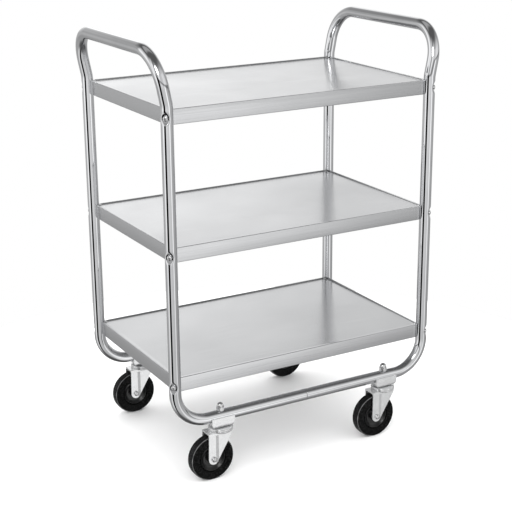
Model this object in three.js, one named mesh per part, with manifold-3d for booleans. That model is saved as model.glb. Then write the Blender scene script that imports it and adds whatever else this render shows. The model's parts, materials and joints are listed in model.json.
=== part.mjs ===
// Three-shelf food service trolley on four swivel castors.
// Millimetres, +Z up. The origin is on the floor, under the middle of the trolley:
// X runs along the trolley, Y across it, and the front is towards -Y.
import * as THREE from "three";
import { mergeVertices } from "three/addons/utils/BufferGeometryUtils.js";
import Module from "manifold-3d";

const wasm = await Module();
wasm.setup();

// ---- Driving dimensions ------------------------------------------------------

const GAP = 0.3; // clearance between pieces that touch

const TUBE_R = 12.5; // frame tube, outside radius
const TUBE_WALL = 1.2;
const POST_X = 311.5; // post centres, from the middle of the trolley
const POST_Y = 198;
const RUN_Z = 140; // centreline of the lower runs
const RUN_BEND = 72; // bend radius between a lower run and a post
const HANDLE_Z = 912; // centreline of the handle bars
const HANDLE_OUT = 20; // how far a handle bar stands outside its posts
const HANDLE_BEND = 70;
const LEAN_Z = 810; // where the posts start to lean outward
const LEAN_BEND = 60;

const SHELF_PITCH = 279;
const BOTTOM_RIM_Z = 244;
const SHELF_INSET = 2.25; // shelf flanges, inside the post centres
const SHEET = 1.2;
const FLANGE_H = 31;
const RIM_W = 6;
const DECK_DROP = 3;
const RETURN_W = 12;

const DIMPLE_DEPTH = 4; // pressed seats for the shelf screws in the posts
const DIMPLE_HALF_H = 12;
const DIMPLE_R = (DIMPLE_HALF_H ** 2 + DIMPLE_DEPTH ** 2) / (2 * DIMPLE_DEPTH);
const SCREW_R = 3;
const SCREW_HEAD_R = 5;
const SCREW_HEAD_H = 3.2;
const WELD_NUT_R = 6;
const WELD_NUT_L = 7;

const SLEEVE_L = 90; // joint sleeve inside the two halves of a lower run
const SLEEVE_WALL = 1.5;

const SWIVEL_X = 208; // castor swivel axes, from the middle of the trolley
const WHEEL_R = 50;
const TYRE_W = 24;
const HUB_R = 28.2;
const TRAIL = 25; // from the swivel axis back to the axle
const FORK_W = 32;
const LEG_T = 2.5;
const LEG_END_R = 12;
const LEG_REAR_X = -36; // upright edge of the fork
const LEG_FRONT_X = 20; // top of the sloping edge of the fork
const LEG_SHOULDER_Z = 101.5;
const CROWN_Z = 106; // underside of the fork crown
const CROWN_T = 3;
const RACE_R = 26.5;
const CUP_Z = 112.6; // top of the lower race, on the fork
const RACE_T = 3.8; // upper race, under the saddle
const SADDLE_L = 54;
const SADDLE_W = 30;
const SADDLE_CORNER = 12;
const KING_R = 5;
const KING_HEAD_R = 9.8;
const KING_HEAD_H = 6.1;
const CAP_NUT_R = 9.2;
const CAP_NUT_H = 17;
const AXLE_R = 4;
const AXLE_HEAD_R = 6;
const AXLE_END_H = 5.5; // axle head, and axle nut
const AXLE_NUT_R = 7.5;
const AXLE_SLEEVE_R = 6.9;

// ---- Fineness of the round shapes ----------------------------------------------

const TUBE_SIDES = 12;
const BORE_SIDES = 8;
const BEND_STEP = Math.PI / 10;
const SEAT_SIDES = 18;
const ARC_STEPS = 2; // half of the chords in an arc of an outline
const WHEEL_SIDES = 20;

// ---- Materials ---------------------------------------------------------------

const surface = (color, roughness, metalness) =>
  new THREE.MeshStandardMaterial({ color, roughness, metalness, flatShading: true });

const finish = {
  chromedTube: () => surface(0xd6d8db, 0.12, 1),
  brushedSheet: () => surface(0xc9cbce, 0.38, 1),
  brightFastener: () => surface(0xd9dadc, 0.2, 1),
  zincPlate: () => surface(0xcfd1d2, 0.42, 1),
  tyreRubber: () => surface(0x121214, 0.35, 0),
  hubPlastic: () => surface(0x0d0d0f, 0.3, 0),
};

// ---- Solids ------------------------------------------------------------------

/** A closed three.js geometry as a solid that can be cut and joined. */
function solid(geometry) {
  const bare = geometry.clone();
  bare.deleteAttribute("normal");
  bare.deleteAttribute("uv");
  const merged = mergeVertices(bare, 1e-4);
  const index = merged.index.array;
  const triangles = [];
  for (let i = 0; i < index.length; i += 3) {
    const [a, b, c] = index.slice(i, i + 3);
    if (a !== b && b !== c && c !== a) triangles.push(a, b, c);
  }
  const vertProperties = new Float32Array(merged.attributes.position.array);
  const triVerts = new Uint32Array(triangles);
  return new wasm.Manifold(new wasm.Mesh({ numProp: 3, vertProperties, triVerts }));
}

const cut = (body, ...tools) => tools.reduce((rest, tool) => rest.subtract(tool), body);
const join = (...bodies) => bodies.reduce((sum, body) => sum.add(body));

/** A finished solid as a named mesh. */
function piece(name, body, material) {
  const { vertProperties, triVerts } = body.getMesh();
  const geometry = new THREE.BufferGeometry();
  geometry.setAttribute("position", new THREE.BufferAttribute(vertProperties, 3));
  geometry.setIndex(new THREE.BufferAttribute(triVerts, 1));
  geometry.computeVertexNormals();
  const mesh = new THREE.Mesh(geometry, material);
  mesh.name = name;
  return mesh;
}

/** Regular polygon with its first corner on the +X side. */
function polygon(radius, sides) {
  const corner = (_, i) => {
    const angle = (2 * Math.PI * i) / sides;
    return new THREE.Vector2(radius * Math.cos(angle), radius * Math.sin(angle));
  };
  return Array.from({ length: sides }, corner);
}

/** Straight round rod between two points. */
function rod(from, to, radius, sides = 12) {
  const along = to.clone().sub(from);
  const geometry = new THREE.CylinderGeometry(radius, radius, along.length(), sides);
  const turn = new THREE.Quaternion();
  turn.setFromUnitVectors(new THREE.Vector3(0, 1, 0), along.clone().normalize());
  geometry.applyQuaternion(turn);
  geometry.translate(...from.clone().add(to).multiplyScalar(0.5).toArray());
  return solid(geometry);
}

/** Body of revolution about the Y axis, with a flat side towards the floor. */
function turnedY(profile, segments) {
  const points = profile.map(([radius, y]) => new THREE.Vector2(radius, y));
  return solid(new THREE.LatheGeometry(points, segments, Math.PI / segments));
}

/** Body of revolution about the Z axis. */
function turnedZ(profile, segments) {
  const points = profile.map(([radius, z]) => new THREE.Vector2(radius, z));
  const geometry = new THREE.LatheGeometry(points, segments, Math.PI / segments);
  return solid(geometry.rotateX(Math.PI / 2));
}

function extruded(shape, depth) {
  return new THREE.ExtrudeGeometry(shape, { depth, bevelEnabled: false, curveSegments: ARC_STEPS });
}

/** Outline in X and Y, pushed up from one height to another. */
function risen(shape, fromZ, toZ) {
  return solid(extruded(shape, toZ - fromZ).translate(0, 0, fromZ));
}

/** Outline in X and Z, pushed across from one Y to another. */
function pushed(shape, fromY, toY) {
  return solid(extruded(shape, toY - fromY).rotateX(Math.PI / 2).translate(0, toY, 0));
}

const point = (x, y, z) => new THREE.Vector3(x, y, z);

// ---- Frame tubes -------------------------------------------------------------

/** Centreline of a bent tube: straight runs between corners that are rounded to a bend radius. */
class BentLine extends THREE.Curve {
  constructor(corners) {
    super();
    this.stations = [];
    corners.forEach((corner, i) => this.addCorner(corners[i - 1], corner, corners[i + 1]));
  }

  addCorner(before, corner, after) {
    if (!before || !after) {
      const along = before ? corner.at.clone().sub(before.at) : after.at.clone().sub(corner.at);
      this.stations.push({ at: corner.at, along: along.normalize() });
      return;
    }
    const arriving = corner.at.clone().sub(before.at).normalize();
    const leaving = after.at.clone().sub(corner.at).normalize();
    const turn = arriving.angleTo(leaving);
    const start = corner.at.clone().addScaledVector(arriving, -corner.bend * Math.tan(turn / 2));
    const inward = leaving.clone().addScaledVector(arriving, -leaving.dot(arriving)).normalize();
    const centre = start.clone().addScaledVector(inward, corner.bend);
    const steps = Math.ceil(turn / BEND_STEP);
    for (let i = 0; i <= steps; i++) {
      const angle = (turn * i) / steps;
      const along = arriving.clone().multiplyScalar(Math.cos(angle)).addScaledVector(inward, Math.sin(angle));
      const at = centre.clone().addScaledVector(arriving, corner.bend * Math.sin(angle));
      at.addScaledVector(inward, -corner.bend * Math.cos(angle));
      this.stations.push({ at, along });
    }
  }

  stationAt(u) {
    return this.stations[Math.round(u * (this.stations.length - 1))];
  }

  getPointAt(u) {
    return this.stationAt(u).at.clone();
  }

  getTangentAt(u) {
    return this.stationAt(u).along.clone();
  }
}

/** Corners of one end frame, from the front seam up, over the handle and down to the rear seam. */
function frameCorners(side, seamX) {
  const x = side * POST_X;
  const handleX = side * (POST_X + HANDLE_OUT);
  return [
    { at: point(side * seamX, -POST_Y, RUN_Z) },
    { at: point(x, -POST_Y, RUN_Z), bend: RUN_BEND },
    { at: point(x, -POST_Y, LEAN_Z), bend: LEAN_BEND },
    { at: point(handleX, -POST_Y, HANDLE_Z), bend: HANDLE_BEND },
    { at: point(handleX, POST_Y, HANDLE_Z), bend: HANDLE_BEND },
    { at: point(x, POST_Y, LEAN_Z), bend: LEAN_BEND },
    { at: point(x, POST_Y, RUN_Z), bend: RUN_BEND },
    { at: point(side * seamX, POST_Y, RUN_Z) },
  ];
}

function sweptRod(line, radius, sides) {
  const section = new THREE.Shape(polygon(radius, sides));
  const steps = line.stations.length - 1;
  return solid(new THREE.ExtrudeGeometry(section, { extrudePath: line, steps }));
}

/** Each shelf screw: its post, the outward diagonal of that post, and its height. */
function screwPlaces() {
  const places = [];
  shelfLevels.forEach(({ level, rimZ }) => {
    for (const [row, sy] of [["front", -1], ["rear", 1]]) {
      for (const [side, sx] of [["left", -1], ["right", 1]]) {
        const at = point(sx * POST_X, sy * POST_Y, rimZ - FLANGE_H / 2);
        const out = point(sx, sy, 0).normalize();
        places.push({ name: `${level}_shelf_screw_${row}_${side}`, level, sx, at, out });
      }
    }
  });
  return places;
}

/** Cylinder lying across a post, whose inner side is the floor of a pressed seat. */
function seatTool({ at, out }, growth) {
  const centre = at.clone().addScaledVector(out, TUBE_R - DIMPLE_DEPTH + DIMPLE_R);
  const across = point(-out.y, out.x, 0).multiplyScalar(2 * TUBE_R);
  return rod(centre.clone().sub(across), centre.clone().add(across), DIMPLE_R + growth, SEAT_SIDES);
}

const onScrewLine = ({ at, out }, distance) => at.clone().addScaledVector(out, distance);

function screwHoleTool(place, from, to) {
  return rod(onScrewLine(place, from), onScrewLine(place, to), SCREW_R + GAP);
}

/** One bent tube with its pressed screw seats, screw holes and castor bolt holes. */
function frameTube(name, side) {
  const places = screwPlaces().filter(({ sx }) => sx === side);
  const rodBody = sweptRod(new BentLine(frameCorners(side, GAP / 2)), TUBE_R, TUBE_SIDES);
  const outer = cut(rodBody, ...places.map((place) => seatTool(place, 0)));
  const bore = sweptRod(new BentLine(frameCorners(side, -GAP)), TUBE_R - TUBE_WALL, BORE_SIDES);
  const inner = cut(bore, ...places.map((place) => seatTool(place, TUBE_WALL)));
  const reach = TUBE_R + GAP;
  const screwHoles = places.map((place) => screwHoleTool(place, TUBE_R, -reach));
  const x = side * SWIVEL_X;
  const boltHole = (y) => rod(point(x, y, RUN_Z - reach), point(x, y, RUN_Z + reach), KING_R + GAP);
  const boltHoles = [-POST_Y, POST_Y].map(boltHole);
  return piece(name, cut(outer, inner, ...screwHoles, ...boltHoles), finish.chromedTube());
}

/** Sleeve that joins the two tube ends inside a lower run. */
function jointSleeve(name, y) {
  const flatR = (TUBE_R - TUBE_WALL) * Math.cos(Math.PI / BORE_SIDES);
  const ends = [point(-SLEEVE_L / 2, y, RUN_Z), point(SLEEVE_L / 2, y, RUN_Z)];
  const bore = [point(-SLEEVE_L, y, RUN_Z), point(SLEEVE_L, y, RUN_Z)];
  const body = cut(rod(...ends, flatR - GAP), rod(...bore, flatR - GAP - SLEEVE_WALL));
  return piece(name, body, finish.zincPlate());
}

// ---- Shelves -----------------------------------------------------------------

const shelfLevels = ["bottom", "middle", "top"].map((level, i) => {
  return { level, rimZ: BOTTOM_RIM_Z + i * SHELF_PITCH };
});

/** Shelf outline pulled in by an inset, with a hollow corner round each post. */
function shelfOutline(inset, Kind = THREE.Shape) {
  const halfX = POST_X - SHELF_INSET - inset;
  const halfY = POST_Y - SHELF_INSET - inset;
  const hollow = TUBE_R + GAP + inset;
  const reach = Math.sqrt(hollow ** 2 - (SHELF_INSET + inset) ** 2);
  const tilt = Math.asin((SHELF_INSET + inset) / hollow);
  const outline = new Kind();
  outline.moveTo(-POST_X + reach, -halfY);
  const corners = [[1, -1], [1, 1], [-1, 1], [-1, -1]];
  corners.forEach(([sx, sy], i) => {
    const alongX = sx * sy < 0; // the outline reaches this corner along X
    if (alongX) outline.lineTo(sx * (POST_X - reach), sy * halfY);
    else outline.lineTo(sx * halfX, sy * (POST_Y - reach));
    const middle = -Math.PI * 1.25 + (i * Math.PI) / 2;
    const sweep = Math.PI / 4 - tilt;
    outline.absarc(sx * POST_X, sy * POST_Y, hollow, middle + sweep, middle - sweep, true);
  });
  outline.closePath();
  return outline;
}

/** Folded tray with a raised rim, a return flange below and a weld nut in each hollow corner. */
function shelf({ level, rimZ }) {
  const deckZ = rimZ - DECK_DROP;
  const footZ = rimZ - FLANGE_H;
  const recess = risen(shelfOutline(RIM_W), deckZ, rimZ + 1);
  const hollow = risen(shelfOutline(SHEET), footZ + SHEET, deckZ - SHEET);
  const mouth = risen(shelfOutline(RETURN_W), footZ - 1, footZ + 2 * SHEET);
  const ridge = shelfOutline(SHEET);
  ridge.holes.push(shelfOutline(RIM_W - SHEET, THREE.Path));
  const underRim = risen(ridge, deckZ - 2 * SHEET, rimZ - SHEET);
  const tray = cut(risen(shelfOutline(0), footZ, rimZ), recess, hollow, mouth, underRim);
  const places = screwPlaces().filter((place) => place.level === level);
  const nutStart = -(TUBE_R + GAP + SHEET / 2);
  const nuts = places.map((place) =>
    rod(onScrewLine(place, nutStart - WELD_NUT_L), onScrewLine(place, nutStart), WELD_NUT_R, 6));
  const holes = places.map((place) => screwHoleTool(place, -TUBE_R + 1, nutStart - WELD_NUT_L - 1));
  return piece(`${level}_shelf`, cut(join(tray, ...nuts), ...holes), finish.brushedSheet());
}

/** Raised-head screw, from its seat in the post to the weld nut of the shelf. */
function shelfScrew(place) {
  const rise = SCREW_HEAD_R ** 2 / (2 * DIMPLE_R); // how far the seat curls up under the head
  const seat = TUBE_R - DIMPLE_DEPTH + rise + GAP;
  const tip = -(TUBE_R + GAP + SHEET + WELD_NUT_L + 1);
  const profile = [
    [0, tip],
    [SCREW_R, tip],
    [SCREW_R, seat],
    [SCREW_HEAD_R, seat],
    [SCREW_HEAD_R, seat + SCREW_HEAD_H * 0.35],
    [SCREW_HEAD_R * 0.7, seat + SCREW_HEAD_H * 0.85],
    [0, seat + SCREW_HEAD_H],
  ];
  const screw = piece(place.name, turnedY(profile, 8), finish.brightFastener());
  screw.position.copy(place.at);
  screw.quaternion.setFromUnitVectors(point(0, 1, 0), place.out);
  return screw;
}

// ---- Castors (swivel axis on local Z, floor at zero, trail towards -X) --------

const RACE_Z = CUP_Z + GAP;
const SADDLE_Z = RACE_Z + RACE_T + GAP;
const LEG_Y = FORK_W / 2;

/** Cradle that hugs the underside of the lower run. */
function saddle() {
  const half = SADDLE_L / 2;
  const cornerZ = SADDLE_Z + SADDLE_CORNER;
  const outline = new THREE.Shape();
  outline.moveTo(-half, RUN_Z);
  outline.lineTo(-half, cornerZ);
  outline.absarc(-half + SADDLE_CORNER, cornerZ, SADDLE_CORNER, Math.PI, 1.5 * Math.PI, false);
  outline.absarc(half - SADDLE_CORNER, cornerZ, SADDLE_CORNER, 1.5 * Math.PI, 2 * Math.PI, false);
  outline.lineTo(half, RUN_Z);
  outline.closePath();
  const tube = rod(point(-SADDLE_L, 0, RUN_Z), point(SADDLE_L, 0, RUN_Z), TUBE_R + GAP, 24);
  const boltHole = rod(point(0, 0, SADDLE_Z - 1), point(0, 0, RUN_Z), KING_R + GAP);
  return cut(pushed(outline, -SADDLE_W / 2, SADDLE_W / 2), tube, boltHole);
}

/** Upper ball race, clamped under the saddle. */
function swivelRace() {
  const top = RACE_Z + RACE_T;
  const bore = KING_R + GAP;
  const edge = RACE_T / 3;
  const profile = [
    [bore, RACE_Z],
    [RACE_R, RACE_Z],
    [RACE_R, top - edge],
    [RACE_R - edge, top],
    [bore, top],
    [bore, RACE_Z],
  ];
  return turnedZ(profile, WHEEL_SIDES);
}

/** Hexagon-headed bolt up through the fork, the races, the saddle and the tube. */
function kingBolt() {
  const headTop = CROWN_Z - GAP;
  const head = risen(new THREE.Shape(polygon(KING_HEAD_R, 6)), headTop - KING_HEAD_H, headTop);
  const tip = RUN_Z + TUBE_R + GAP + CAP_NUT_H * 0.6;
  return join(head, rod(point(0, 0, headTop - 1), point(0, 0, tip), KING_R));
}

/** Domed nut on top of the tube. */
function capNut() {
  const base = RUN_Z + TUBE_R + GAP;
  const hexTop = base + CAP_NUT_H * 0.45;
  const domeR = CAP_NUT_R * 0.8;
  const hexagon = risen(new THREE.Shape(polygon(CAP_NUT_R, 6)), base, hexTop);
  const dome = turnedZ([
    [0, base + 1],
    [domeR, base + 1],
    [domeR, hexTop + 2],
    [domeR * 0.87, base + CAP_NUT_H * 0.8],
    [domeR * 0.5, base + CAP_NUT_H * 0.95],
    [0, base + CAP_NUT_H],
  ], 10);
  const bore = rod(point(0, 0, base - 1), point(0, 0, base + CAP_NUT_H * 0.72), KING_R + GAP);
  return cut(join(hexagon, dome), bore);
}

/** Side outline of the fork: upright at the back, sloping up to the crown at the front. */
function forkOutline() {
  const reach = Math.hypot(LEG_FRONT_X + TRAIL, LEG_SHOULDER_Z - WHEEL_R);
  const aim = Math.atan2(LEG_SHOULDER_Z - WHEEL_R, LEG_FRONT_X + TRAIL);
  const touch = aim - Math.acos(LEG_END_R / reach);
  const outline = new THREE.Shape();
  outline.moveTo(LEG_REAR_X, CROWN_Z + CROWN_T);
  outline.lineTo(-TRAIL - LEG_END_R, WHEEL_R);
  outline.absarc(-TRAIL, WHEEL_R, LEG_END_R, Math.PI, 2 * Math.PI + touch, false);
  outline.lineTo(LEG_FRONT_X, LEG_SHOULDER_Z);
  outline.lineTo(LEG_FRONT_X, CROWN_Z + CROWN_T);
  outline.closePath();
  return outline;
}

/** Pressed fork with the lower ball race raised on its crown. */
function fork() {
  const blank = pushed(forkOutline(), -LEG_Y, LEG_Y);
  const cup = turnedZ([
    [0, CROWN_Z + 1],
    [RACE_R, CROWN_Z + 1],
    [RACE_R, CUP_Z],
    [0, CUP_Z],
  ], WHEEL_SIDES);
  const inside = LEG_Y - LEG_T;
  const throat = new THREE.BoxGeometry(4 * RACE_R, 2 * inside, CROWN_Z);
  const channel = solid(throat.translate(0, 0, CROWN_Z / 2));
  const kingR = KING_R + GAP;
  const track = turnedZ([
    [kingR + 3, CROWN_Z + CROWN_T],
    [RACE_R - LEG_T, CROWN_Z + CROWN_T],
    [RACE_R - LEG_T, CUP_Z + 1],
    [kingR + 3, CUP_Z + 1],
    [kingR + 3, CROWN_Z + CROWN_T],
  ], 12);
  const kingHole = rod(point(0, 0, CROWN_Z - 1), point(0, 0, CUP_Z + 1), kingR);
  const axleHole = rod(point(-TRAIL, -LEG_Y - 1, WHEEL_R), point(-TRAIL, LEG_Y + 1, WHEEL_R), AXLE_R + GAP);
  return cut(join(blank, cup), channel, track, kingHole, axleHole);
}

/** Dome-headed axle bolt, its head towards the front. */
function axleBolt() {
  const under = -LEG_Y - GAP;
  const face = under - AXLE_END_H;
  return turnedY([
    [0, face],
    [AXLE_HEAD_R * 0.6, face + AXLE_END_H * 0.12],
    [AXLE_HEAD_R * 0.92, face + AXLE_END_H * 0.45],
    [AXLE_HEAD_R, face + AXLE_END_H * 0.75],
    [AXLE_HEAD_R, under],
    [AXLE_R, under],
    [AXLE_R, LEG_Y + AXLE_END_H - GAP],
    [0, LEG_Y + AXLE_END_H - GAP],
  ], 12);
}

/** Hexagon nut on the far end of the axle. */
function axleNut() {
  const from = LEG_Y + GAP;
  const blank = pushed(new THREE.Shape(polygon(AXLE_NUT_R, 6)), from, from + AXLE_END_H);
  return cut(blank, rod(point(0, from - 1, 0), point(0, from + AXLE_END_H + 1, 0), AXLE_R + GAP));
}

/** Spacer that the wheel turns on, clamped between the fork legs. */
function axleSleeve() {
  const half = LEG_Y - LEG_T - GAP;
  return turnedY([
    [AXLE_R + GAP, -half],
    [AXLE_SLEEVE_R, -half],
    [AXLE_SLEEVE_R, half],
    [AXLE_R + GAP, half],
    [AXLE_R + GAP, -half],
  ], 12);
}

/** Profile mirrored about the middle plane of the wheel, and closed. */
function mirrored(halfProfile) {
  const lower = halfProfile.map(([radius, y]) => [radius, -y]);
  const upper = [...halfProfile].reverse();
  return [...lower, ...upper, lower[0]];
}

/** Wheel centre: a boss round the sleeve, a thin web and a rim inside the tyre. */
function wheelHub() {
  const bore = AXLE_SLEEVE_R + GAP;
  const bossY = LEG_Y - LEG_T - 1;
  const rimY = TYRE_W / 2 - 1;
  const webY = TYRE_W / 4;
  return turnedY(mirrored([
    [bore, bossY],
    [bore + 4, bossY],
    [bore + 4.5, webY],
    [HUB_R - 4.5, webY],
    [HUB_R - 4, rimY],
    [HUB_R, rimY],
  ]), 16);
}

/** Solid tyre with rounded shoulders. */
function tyre() {
  const tread = WHEEL_R / Math.cos(Math.PI / WHEEL_SIDES);
  const half = TYRE_W / 2;
  return turnedY(mirrored([
    [HUB_R + GAP + 0.4, half - 1.5],
    [HUB_R + 3, half],
    [tread - 4, half],
    [tread, half - 4],
  ]), WHEEL_SIDES);
}

/** One castor; the fork and the wheel are placed by their own groups. */
function castor(name, sx, sy) {
  const group = new THREE.Group();
  group.position.set(sx * SWIVEL_X, sy * POST_Y, 0);
  group.add(
    piece(`${name}_saddle`, saddle(), finish.zincPlate()),
    piece(`${name}_swivel_race`, swivelRace(), finish.zincPlate()),
    piece(`${name}_king_bolt`, kingBolt(), finish.brightFastener()),
    piece(`${name}_cap_nut`, capNut(), finish.brightFastener()),
    piece(`${name}_fork`, fork(), finish.zincPlate()),
  );
  const wheel = new THREE.Group();
  wheel.position.set(-TRAIL, 0, WHEEL_R);
  wheel.add(
    piece(`${name}_axle_bolt`, axleBolt(), finish.brightFastener()),
    piece(`${name}_axle_nut`, axleNut(), finish.brightFastener()),
    piece(`${name}_axle_sleeve`, axleSleeve(), finish.zincPlate()),
    piece(`${name}_wheel_hub`, wheelHub(), finish.hubPlastic()),
    piece(`${name}_tyre`, tyre(), finish.tyreRubber()),
  );
  group.add(wheel);
  return group;
}

// ---- Assembly ----------------------------------------------------------------

const trolley = new THREE.Group();
trolley.add(frameTube("left_frame_tube", -1), frameTube("right_frame_tube", 1));
trolley.add(jointSleeve("front_joint_sleeve", -POST_Y), jointSleeve("rear_joint_sleeve", POST_Y));
trolley.add(...shelfLevels.map(shelf));
trolley.add(...screwPlaces().map(shelfScrew));
for (const [row, sy] of [["front", -1], ["rear", 1]]) {
  for (const [side, sx] of [["left", -1], ["right", 1]]) {
    trolley.add(castor(`${row}_${side}`, sx, sy));
  }
}

export default trolley;
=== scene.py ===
"""Food service trolley: the looks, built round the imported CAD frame.

Metres, +Z up, the front towards -Y. Dimensions below are in millimetres and are scaled by MM.
"""

import json
import math

import bpy
from mathutils import Matrix, Vector


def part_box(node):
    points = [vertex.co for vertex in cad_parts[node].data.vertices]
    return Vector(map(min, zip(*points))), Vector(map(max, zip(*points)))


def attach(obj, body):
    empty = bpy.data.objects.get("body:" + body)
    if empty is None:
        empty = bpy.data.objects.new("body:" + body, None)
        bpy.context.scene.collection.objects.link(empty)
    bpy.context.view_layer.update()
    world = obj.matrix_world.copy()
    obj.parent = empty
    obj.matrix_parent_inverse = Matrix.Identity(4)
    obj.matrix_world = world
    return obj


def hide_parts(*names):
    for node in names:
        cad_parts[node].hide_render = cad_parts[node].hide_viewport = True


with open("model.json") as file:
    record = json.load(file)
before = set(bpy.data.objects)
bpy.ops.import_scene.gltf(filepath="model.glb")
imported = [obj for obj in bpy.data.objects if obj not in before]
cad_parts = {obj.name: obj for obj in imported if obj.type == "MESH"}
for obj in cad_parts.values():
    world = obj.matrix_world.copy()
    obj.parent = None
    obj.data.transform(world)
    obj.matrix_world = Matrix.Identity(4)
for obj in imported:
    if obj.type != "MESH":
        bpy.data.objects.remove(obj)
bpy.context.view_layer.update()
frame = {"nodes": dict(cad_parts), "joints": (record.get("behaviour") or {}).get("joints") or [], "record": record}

MM = 0.001
CLEARANCE = 0.3 * MM

# ---- Frame tube ----
TUBE_SEGMENTS = 48
BEND_STEPS = 24
UPRIGHT = 0.999  # the least Z of a direction that counts as upright
TUBE_R = 12.5 * MM
TUBE_WALL = 1.2 * MM
POST_X = 311.5 * MM
POST_Y = 198 * MM
RUN_Z = 140 * MM
RUN_BEND = 72 * MM
SEAM_CHAMFER = 0.6 * MM
HANDLE_Z = 912 * MM
HANDLE_OUT = 20 * MM
HANDLE_BEND = 70 * MM
LEAN_Z = 810 * MM
LEAN_BEND = 60 * MM

# ---- Shelves ----
SHEET = 1.2 * MM
FLANGE_H = 31 * MM
SHELF_INSET = 2.25 * MM
DECK_DROP = 3 * MM
FOLD_R = 1.6 * MM
RETURN_W = 12 * MM
SLOPE_W = 6.5 * MM
LEVELS = ("bottom", "middle", "top")
RIM_Z = {level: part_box(level + "_shelf")[1].z for level in LEVELS}

# ---- Shelf screws and their pressed seats ----
SEAT_DEPTH = 4 * MM
SEAT_HALF_H = 12 * MM
SEAT_R = (SEAT_HALF_H**2 + SEAT_DEPTH**2) / (2 * SEAT_DEPTH)
SEAT_LIP = 0.55 * MM
SEAT_STEP = 1.1 * MM
SEAT_STEPS = 15
SCREW_HEAD_R = 5 * MM
SCREW_HEAD_H = 3.2 * MM
SCREW_SHANK_R = 3 * MM
SCREW_SHANK_L = 36 * MM
RECESS_TURN = 20  # degrees

# ---- Castors ----
WHEEL_R = 50 * MM
TYRE_W = 24 * MM
HUB_R = 28.2 * MM
TRAIL = 25 * MM
FORK_W = 32 * MM
LEG_T = 2.5 * MM
LEG_END_R = 12 * MM
LEG_REAR_X = -36 * MM
LEG_FRONT_X = 20 * MM
LEG_SHOULDER_Z = 101.5 * MM
LEG_SUNK = 1.3 * MM
RIB_X = -20 * MM
RIB_SLANT = 7.5 * MM
CROWN_Z = 106 * MM
CROWN_T = 3 * MM
RACE_R = 26.5 * MM
PAST_FORK = 3 * RACE_R  # reach of the tools that cut the fork
CUP_Z = 112.6 * MM
RACE_T = 3.8 * MM
SADDLE_L = 54 * MM
SADDLE_W = 30 * MM
CAP_NUT_R = 9.2 * MM
CAP_NUT_H = 17 * MM
KING_R = 5 * MM
AXLE_R = 4 * MM
AXLE_HEAD_R = 6 * MM
AXLE_NUT_R = 7.5 * MM
AXLE_END_H = 5.5 * MM
AXLE_SLEEVE_R = 6.9 * MM

SIDES = (("left", -1), ("right", 1))
ROWS = (("front", -1), ("rear", 1))


# ==== Mesh helpers ============================================================


def new_mesh(name, points, faces, sharp=35):
    """A smooth-shaded mesh whose edges stay sharp above an angle in degrees."""
    mesh = bpy.data.meshes.new(name)
    mesh.from_pydata([tuple(p) for p in points], [], faces)
    mesh.validate()
    mesh.update()
    mesh.shade_smooth()
    mesh.set_sharp_from_angle(angle=math.radians(sharp))
    return mesh


def ring_quads(low, high, count):
    """Quads between two rings, given by the first point of each."""
    faces = []
    for j in range(count):
        k = (j + 1) % count
        faces.append((low + j, low + k, high + k, high + j))
    return faces


def skin(name, rings, wrap=False, sharp=35):
    """Quads between rings of equal length. It wraps back to the first ring or is capped at both ends."""
    count = len(rings[0])
    points = [p for ring in rings for p in ring]
    faces = []
    pairs = len(rings) if wrap else len(rings) - 1
    for i in range(pairs):
        faces += ring_quads(i * count, ((i + 1) % len(rings)) * count, count)
    if not wrap:
        faces.append(tuple(reversed(range(count))))
        faces.append(tuple(range((len(rings) - 1) * count, len(rings) * count)))
    return new_mesh(name, points, faces, sharp)


def place(name, mesh, material, at=None):
    """A new object of that mesh, with its material."""
    piece = bpy.data.objects.new(name, mesh)
    if at is not None:
        piece.matrix_world = at
    bpy.context.scene.collection.objects.link(piece)
    if not mesh.materials:
        mesh.materials.append(material)
    return piece


def arc(centre, radius, start, end, steps):
    """Points of an arc in a plane, angles in degrees, both ends included."""
    points = []
    for i in range(steps + 1):
        angle = math.radians(start + (end - start) * i / steps)
        points.append((centre[0] + radius * math.cos(angle), centre[1] + radius * math.sin(angle)))
    return points


def lathe(name, profile, segments=64, axis="Z", sharp=35):
    """Body of revolution from (radius, height) pairs, which start and end on the axis or wrap."""
    on_axis = profile[0][0] == 0
    rings = []
    for radius, height in profile[1:-1] if on_axis else profile:
        ring = []
        for i in range(segments):
            angle = 2 * math.pi * i / segments
            ring.append(turn_to(axis, radius * math.cos(angle), radius * math.sin(angle), height))
        rings.append(ring)
    if not on_axis:
        return skin(name, rings, wrap=True, sharp=sharp)
    points = [p for ring in rings for p in ring]
    faces = []
    for i in range(len(rings) - 1):
        faces += ring_quads(i * segments, (i + 1) * segments, segments)
    first = len(points)
    points.append(turn_to(axis, 0, 0, profile[0][1]))
    points.append(turn_to(axis, 0, 0, profile[-1][1]))
    top = (len(rings) - 1) * segments
    for j in range(segments):
        k = (j + 1) % segments
        faces.append((first, k, j))
        faces.append((first + 1, top + j, top + k))
    return new_mesh(name, points, faces, sharp)


def turn_to(axis, across, along, height):
    """A point of a body drawn about Z, laid about Y instead where asked."""
    return Vector((across, along, height)) if axis == "Z" else Vector((across, height, -along))


def evaluated(piece):
    """The piece's mesh with its modifiers applied, and the modifiers removed."""
    bpy.context.view_layer.update()
    graph = bpy.context.evaluated_depsgraph_get()
    mesh = bpy.data.meshes.new_from_object(piece.evaluated_get(graph))
    piece.modifiers.clear()
    piece.data = mesh
    return mesh


def boolean(base, operation, tool):
    """Joins or cuts a mesh by another one, and returns the result."""
    first = bpy.data.objects.new("first", base)
    second = bpy.data.objects.new("second", tool)
    for item in (first, second):
        bpy.context.scene.collection.objects.link(item)
    step = first.modifiers.new("join", "BOOLEAN")
    step.operation = operation
    step.solver = "EXACT"
    step.object = second
    result = evaluated(first)
    bpy.data.objects.remove(first)
    bpy.data.objects.remove(second)
    return result


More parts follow.
